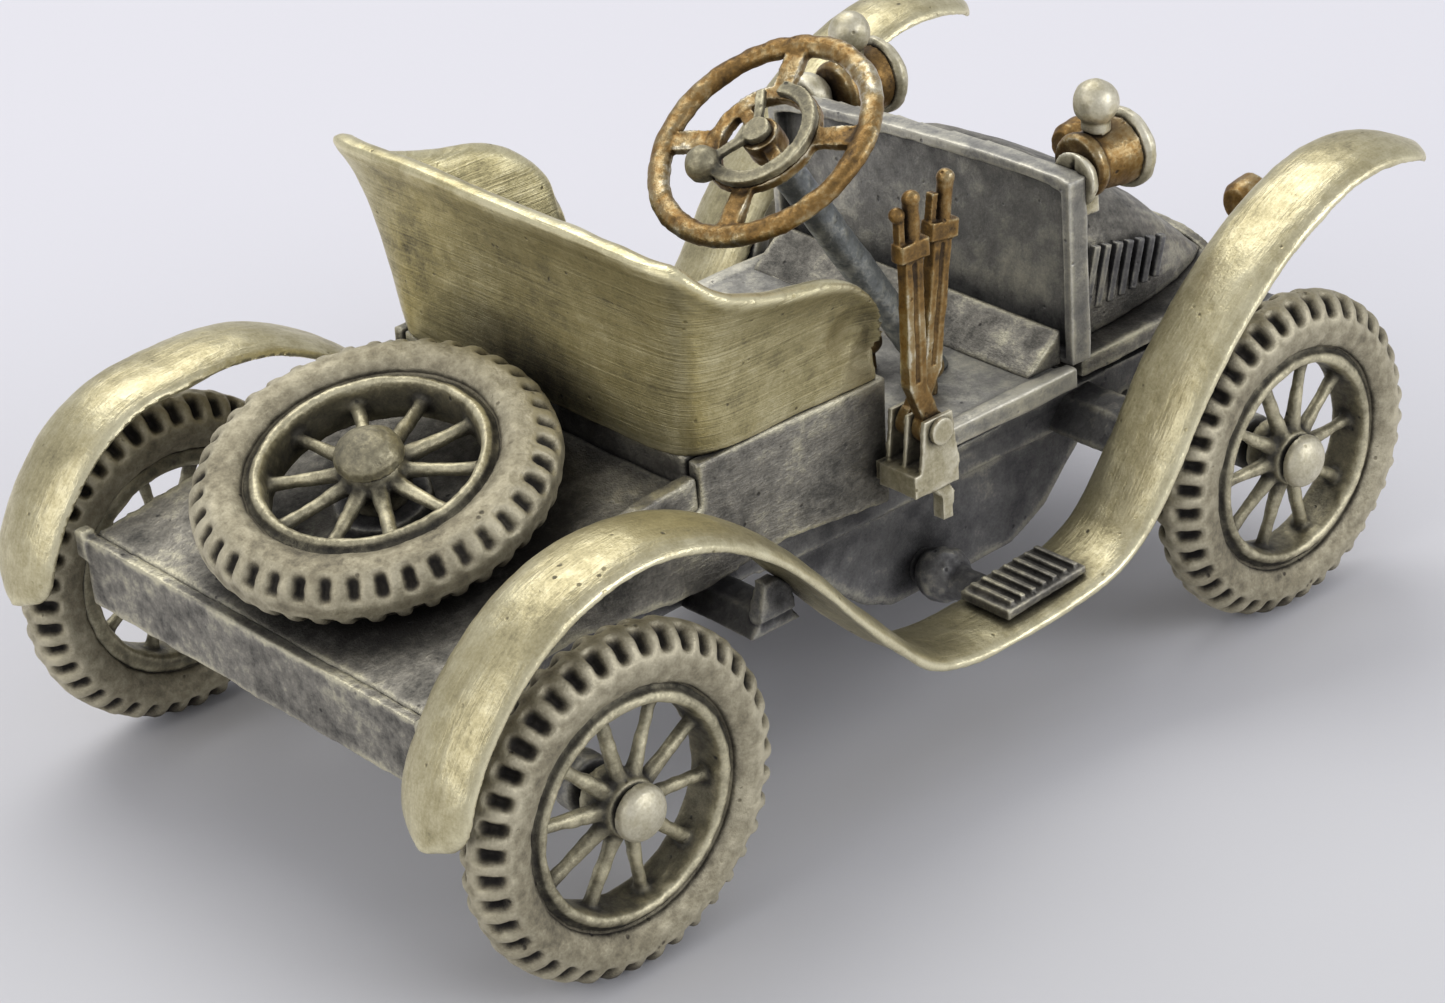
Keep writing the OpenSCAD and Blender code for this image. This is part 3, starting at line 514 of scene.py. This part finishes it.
def fender_part(points):
    line = spline(points, 8)
    d = np.gradient(line, axis=0)
    d /= np.linalg.norm(d, axis=1)[:, None]
    nor = np.stack([-d[:, 1], d[:, 0]], 1)
    run = np.concatenate([[0], np.cumsum(np.linalg.norm(np.diff(line, axis=0), axis=1))])
    mid, half = 21.1, 3.1
    rings = []
    for i, c in enumerate(line):
        a, b = run[i] + 0.04, run[-1] - run[i] + 0.04
        w = half * min(math.sqrt(max(0, 1 - (1 - min(a, 2.9) / 2.9) ** 2)),
                       math.sqrt(max(0, 1 - (1 - min(b, 3.4) / 3.4) ** 2)))
        w = max(w, 0.05)
        flat = float(np.interp(c[0], [20, 25, 40, 45], [1, 0.45, 0.45, 1]))
        top, low = [], []
        for k in range(15):
            u = math.sin(math.pi * (k / 14 - 0.5))
            h = 0.62 * flat * (1 - abs(u) ** 2.4)
            edge = 0.36 * math.sqrt(max(0.0, 1 - abs(u) ** 6)) + 0.06
            top.append((c[0] + nor[i][0] * (h + edge), mid + u * w, c[1] + nor[i][1] * (h + edge)))
            low.append((c[0] + nor[i][0] * (h - edge), mid + u * w, c[1] + nor[i][1] * (h - edge)))
        rings.append(top + low[::-1])
    return loft(rings)


piece("fender_left_skin", cast_mesh("fender_left_skin", [fender_part([closer(p) for p in FENDER])], 0.18, 3,
                                    SOFT + [(0.5, 0.012)], 31),
      M["fender"], "chassis", ["fender_left"])
piece("fender_right_skin", cast_mesh("fender_right_skin", [mirrored(fender_part(FENDER))], 0.18, 3,
                                     SOFT + [(0.5, 0.012)], 32),
      M["fender"], "chassis", ["fender_right"])

# ---------------------------------------------------------------- seat tub
SEAT = [((13.6, 0, 24.9), (11.7, 0, 38.8)), ((13.6, 6.5, 24.9), (11.7, 8.0, 38.9)),
        ((13.7, 11.4, 24.9), (11.8, 14.0, 38.7)), ((14.5, 13.6, 24.9), (12.6, 16.3, 38.3)),
        ((16.2, 14.5, 24.9), (14.6, 17.1, 36.6)), ((18.5, 14.7, 24.9), (17.2, 17.1, 35.5)),
        ((21.5, 14.7, 24.9), (20.4, 16.9, 34.6)), ((24.5, 14.7, 24.9), (23.6, 16.7, 34.0)),
        ((27.0, 14.7, 24.9), (26.2, 16.3, 32.8)), ((28.5, 14.7, 24.9), (28.2, 15.8, 30.6)),
        ((29.2, 14.7, 24.9), (29.1, 15.3, 28.0))]


def seat_part():
    flip = [((f[0], -f[1], f[2]), (t[0], -t[1], t[2])) for f, t in SEAT[:0:-1]]
    full = flip + SEAT
    foot = spline([f for f, t in full], 7)
    rim = spline([t for f, t in full], 7)
    sect = [(0.0, 0.0), (0.12, -0.1), (0.3, -0.34), (0.5, -0.5), (0.68, -0.46), (0.8, -0.25), (0.88, 0.02),
            (0.93, 0.3), (0.975, 0.42), (1.0, 0.2), (1.01, -0.35), (0.995, -0.95), (0.95, -1.2),
            (0.85, -1.35), (0.68, -1.45), (0.5, -1.45), (0.3, -1.35), (0.12, -1.15), (0.0, -1.1)]
    rings = []
    for i in range(len(foot)):
        a, b = rim[max(i - 1, 0)], rim[min(i + 1, len(rim) - 1)]
        d = np.array([b[1] - a[1], a[0] - b[0], 0.0])
        out = -d / np.linalg.norm(d)              # outward, to the rear and to the sides
        rings.append([foot[i] + (rim[i] - foot[i]) * h + out * o for h, o in sect])
    return loft(rings)


def push(me, centre, radius, depth, way):
    """Dent or bump: moves vertices near a point, all in mm from the rear axle."""
    n = len(me.vertices)
    co = np.empty(n * 3, np.float32)
    me.vertices.foreach_get("co", co)
    co = co.reshape(-1, 3).astype(float)
    c = (np.array(centre) + np.array([RX, 0, 0])) * MM
    r = np.linalg.norm((co - c) / (np.array(radius) * MM), axis=1)
    w = np.clip(1 - r * r, 0, 1) ** 1.5
    co += w[:, None] * np.array(way) * depth * MM
    me.vertices.foreach_set("co", co.astype(np.float32).ravel())
    me.update()


seat_me = cast_mesh("seat_shell_skin", [seat_part()], 0.18, 4, [(6.0, 0.1), (2.0, 0.05), (0.7, 0.012)], 41)
push(seat_me, (26.3, -16.2, 29.0), (2.0, 2.0, 2.3), 0.5, (0, 1, 0))
push(seat_me, (27.8, -16.2, 27.2), (1.4, 2.0, 1.5), 0.35, (0, 1, 0))
piece("seat_shell_skin", seat_me, M["seat"], "chassis", ["seat_shell"])

# ---------------------------------------------------------------- everything that keeps the CAD shape
PLAIN = [  # node, voxel, softening, lumps, material, record slot
    ("chassis_frame", 0.2, 2, SOFT, "dark", "dark_metal"),
    ("under_pan", 0.25, 2, SOFT, "dark", "dark_metal"),
    ("rear_axle_beam", 0.2, 2, SOFT, "dark", "dark_metal"),
    ("front_axle_beam", 0.2, 2, SOFT, "dark", "dark_metal"),
    ("rear_springs", 0.14, 1, SOFT, "dark", "dark_metal"),
    ("front_springs", 0.14, 1, SOFT, "dark", "dark_metal"),
    ("rear_axle_rod", 0.11, 1, [(2.2, 0.015)], "bright", "bright_metal"),
    ("front_axle_rod", 0.11, 1, [(2.2, 0.015)], "bright", "bright_metal"),
    ("spare_stud", 0.12, 2, LUMPY, "wheel", "bright_metal"),
    ("spare_rest", 0.18, 2, LUMPY, "dark", "dark_metal"),
    ("rear_deck", 0.22, 2, SOFT, "body", "body_metal"),
    ("tail_panel", 0.16, 2, LUMPY, "body", "body_metal"),
    ("quarter_panels", 0.16, 3, SOFT, "body", "body_metal"),
    ("seat_base", 0.18, 2, SOFT, "body", "body_metal"),
    ("seat_cushion", 0.22, 6, [(5.0, 0.12), (1.5, 0.05)], "dark", "cushion_metal"),
    ("floor_plate", 0.18, 2, SOFT, "painted_lit_pale", "body_metal"),
    ("toe_board", 0.18, 2, SOFT, "body", "body_metal"),
    # painted light: the lighter copy makes the dash frame's inside look lit
    ("dash_frame", 0.15, 2, SOFT, "painted_lit_pale", "body_metal"),
    ("hood", 0.18, 2, SOFT, "body", "dark_metal"),
    ("hood_skirt", 0.18, 3, SOFT, "body", "dark_metal"),
    ("hood_louvers", 0.09, 2, [(0.8, 0.02)], "dark", "body_metal"),
    ("radiator_plate", 0.16, 2, SOFT, "body", "body_metal"),
    ("step_plates", 0.09, 1, [(0.8, 0.02)], "body", "dark_metal"),
    ("body_blocks", 0.18, 2, LUMPY, "dark", "dark_metal"),
    ("rear_stays", 0.16, 2, LUMPY, "dark", "dark_metal"),
    ("front_stays", 0.16, 2, LUMPY, "dark", "dark_metal"),
    ("board_brackets", 0.14, 3, [(1.0, 0.12), (0.5, 0.06)], "dark", "dark_metal"),
    ("cowl_lamps", 0.11, 2, LUMPY, "brass", "brass_wash"),
    ("lamp_rims", 0.1, 1, LUMPY, "bright", "bright_metal"),
    ("lamp_caps", 0.11, 1, LUMPY, "bright", "bright_metal"),
    ("lamp_brackets", 0.12, 3, LUMPY, "bright", "bright_metal"),
    ("front_lamps", 0.11, 2, LUMPY, "brass", "brass_wash"),
    ("front_lamp_posts", 0.12, 2, LUMPY, "dark", "dark_metal"),
    ("steering_column", 0.13, 2, LUMPY, "column", "dark_metal"),
    ("steering_wheel", 0.1, 2, [(0.9, 0.07), (0.4, 0.04)], "brass", "brass_wash"),
    ("steering_quadrant", 0.09, 1, [(0.9, 0.05), (0.4, 0.03)], "wheel", "bright_metal"),
    ("lever_bracket", 0.1, 2, [(0.9, 0.05), (0.4, 0.02)], "bright", "bright_metal"),
    ("lever_pin", 0.09, 1, [(0.9, 0.02)], "bright", "bright_metal"),
    ("gear_lever", 0.07, 1, [(1.0, 0.05), (0.35, 0.02)], "brass", "brass_wash"),
    ("brake_lever", 0.07, 1, [(1.0, 0.05), (0.35, 0.02)], "brass", "brass_wash"),
    ("pedals", 0.11, 2, LUMPY, "brass", "brass_wash"),
]
BODY_OF = {n: b for b, ns in frame["record"]["behaviour"]["bodies"].items() for n in ns}
for k, (node, voxel, soft, lumps, mat, slot) in enumerate(PLAIN):
    me = cast_mesh(node + "_skin", [node_part(node)], voxel, soft, lumps, 100 + k)
    piece(node + "_skin", me, M[mat], BODY_OF[node], [node])

# ---------------------------------------------------------------- floor, light, camera
floor = bpy.data.meshes.new("floor")
floor.from_pydata([(-3, -3, 0), (3, -3, 0), (3, 3, 0), (-3, 3, 0)], [], [(0, 1, 2, 3)])
fm = Nodes("floor_paper")
sep = fm.t.nodes.new("ShaderNodeSeparateXYZ")
fm.put(sep.inputs[0], fm.coord)
# Painted shade: the floor colour darkens from the far side toward the camera, standing in for the key light
# falling off.
ramp = fm.math("ADD", fm.math("MULTIPLY", sep.outputs[0], 0.62), fm.math("MULTIPLY", sep.outputs[1], 0.78))
ramp = fm.math("ADD", ramp, fm.math("MULTIPLY", fm.math("SUBTRACT", fm.noise(0.02, 2.0), 0.5), 0.01))
fm.put(fm.bsdf.inputs["Base Color"], fm.mix(fm.span(ramp, -0.09, 0.10), (*lin(212, 212, 214), 1),
                                            (*lin(230, 229, 235), 1)))
fm.bsdf.inputs["Roughness"].default_value = 0.75
fm.bump(fm.noise(1.2, 3.0), 0.01)
floor.materials.append(fm.mat)
floor_ob = bpy.data.objects.new("floor", floor)
bpy.context.scene.collection.objects.link(floor_ob)

world = bpy.data.worlds.new("studio")
world.use_nodes = True
bg = world.node_tree.nodes["Background"]
bg.inputs[0].default_value = (0.86, 0.87, 0.92, 1)
bg.inputs[1].default_value = 0.62
bpy.context.scene.world = world


def area(name, where, to, size, power, color=(1, 1, 1)):
    d = bpy.data.lights.new(name, "AREA")
    d.shape = "RECTANGLE"
    d.size, d.size_y = size
    d.energy = power
    d.color = color
    o = bpy.data.objects.new(name, d)
    o.location = where
    o.rotation_mode = "QUATERNION"
    o.rotation_quaternion = (Vector(to) - Vector(where)).to_track_quat("-Z", "Y")
    bpy.context.scene.collection.objects.link(o)
    return o


area("key", (0.12, 0.36, 0.62), (0, 0, 0.015), (0.55, 0.45), 1.95, (1.0, 0.99, 0.96))
area("left_fill", (-0.50, 0.05, 0.30), (0, 0, 0.015), (0.4, 0.4), 0.7, (1.0, 0.98, 0.95))
area("right_fill", (0.22, -0.50, 0.26), (0, 0, 0.015), (0.4, 0.3), 1.1, (0.96, 0.97, 1.0))
bpy.context.scene.view_settings.view_transform = "Standard"

cam = bpy.data.cameras.new("camera")
cam.sensor_fit = "HORIZONTAL"
cam.sensor_width = 36.0
cam.lens = 99.64
cam.clip_start, cam.clip_end = 0.01, 10
cam_ob = bpy.data.objects.new("camera", cam)
eye = (RX * MM - 0.12119, -0.17709, 0.13361)
right, up, back = (0.7404, -0.6692, -0.0638), (0.3549, 0.3086, 0.8825), (-0.5708, -0.6760, 0.4660)
cam_ob.matrix_world = Matrix([[right[i], up[i], back[i], eye[i]] for i in range(3)] + [[0, 0, 0, 1]])
bpy.context.scene.collection.objects.link(cam_ob)
bpy.context.scene.camera = cam_ob
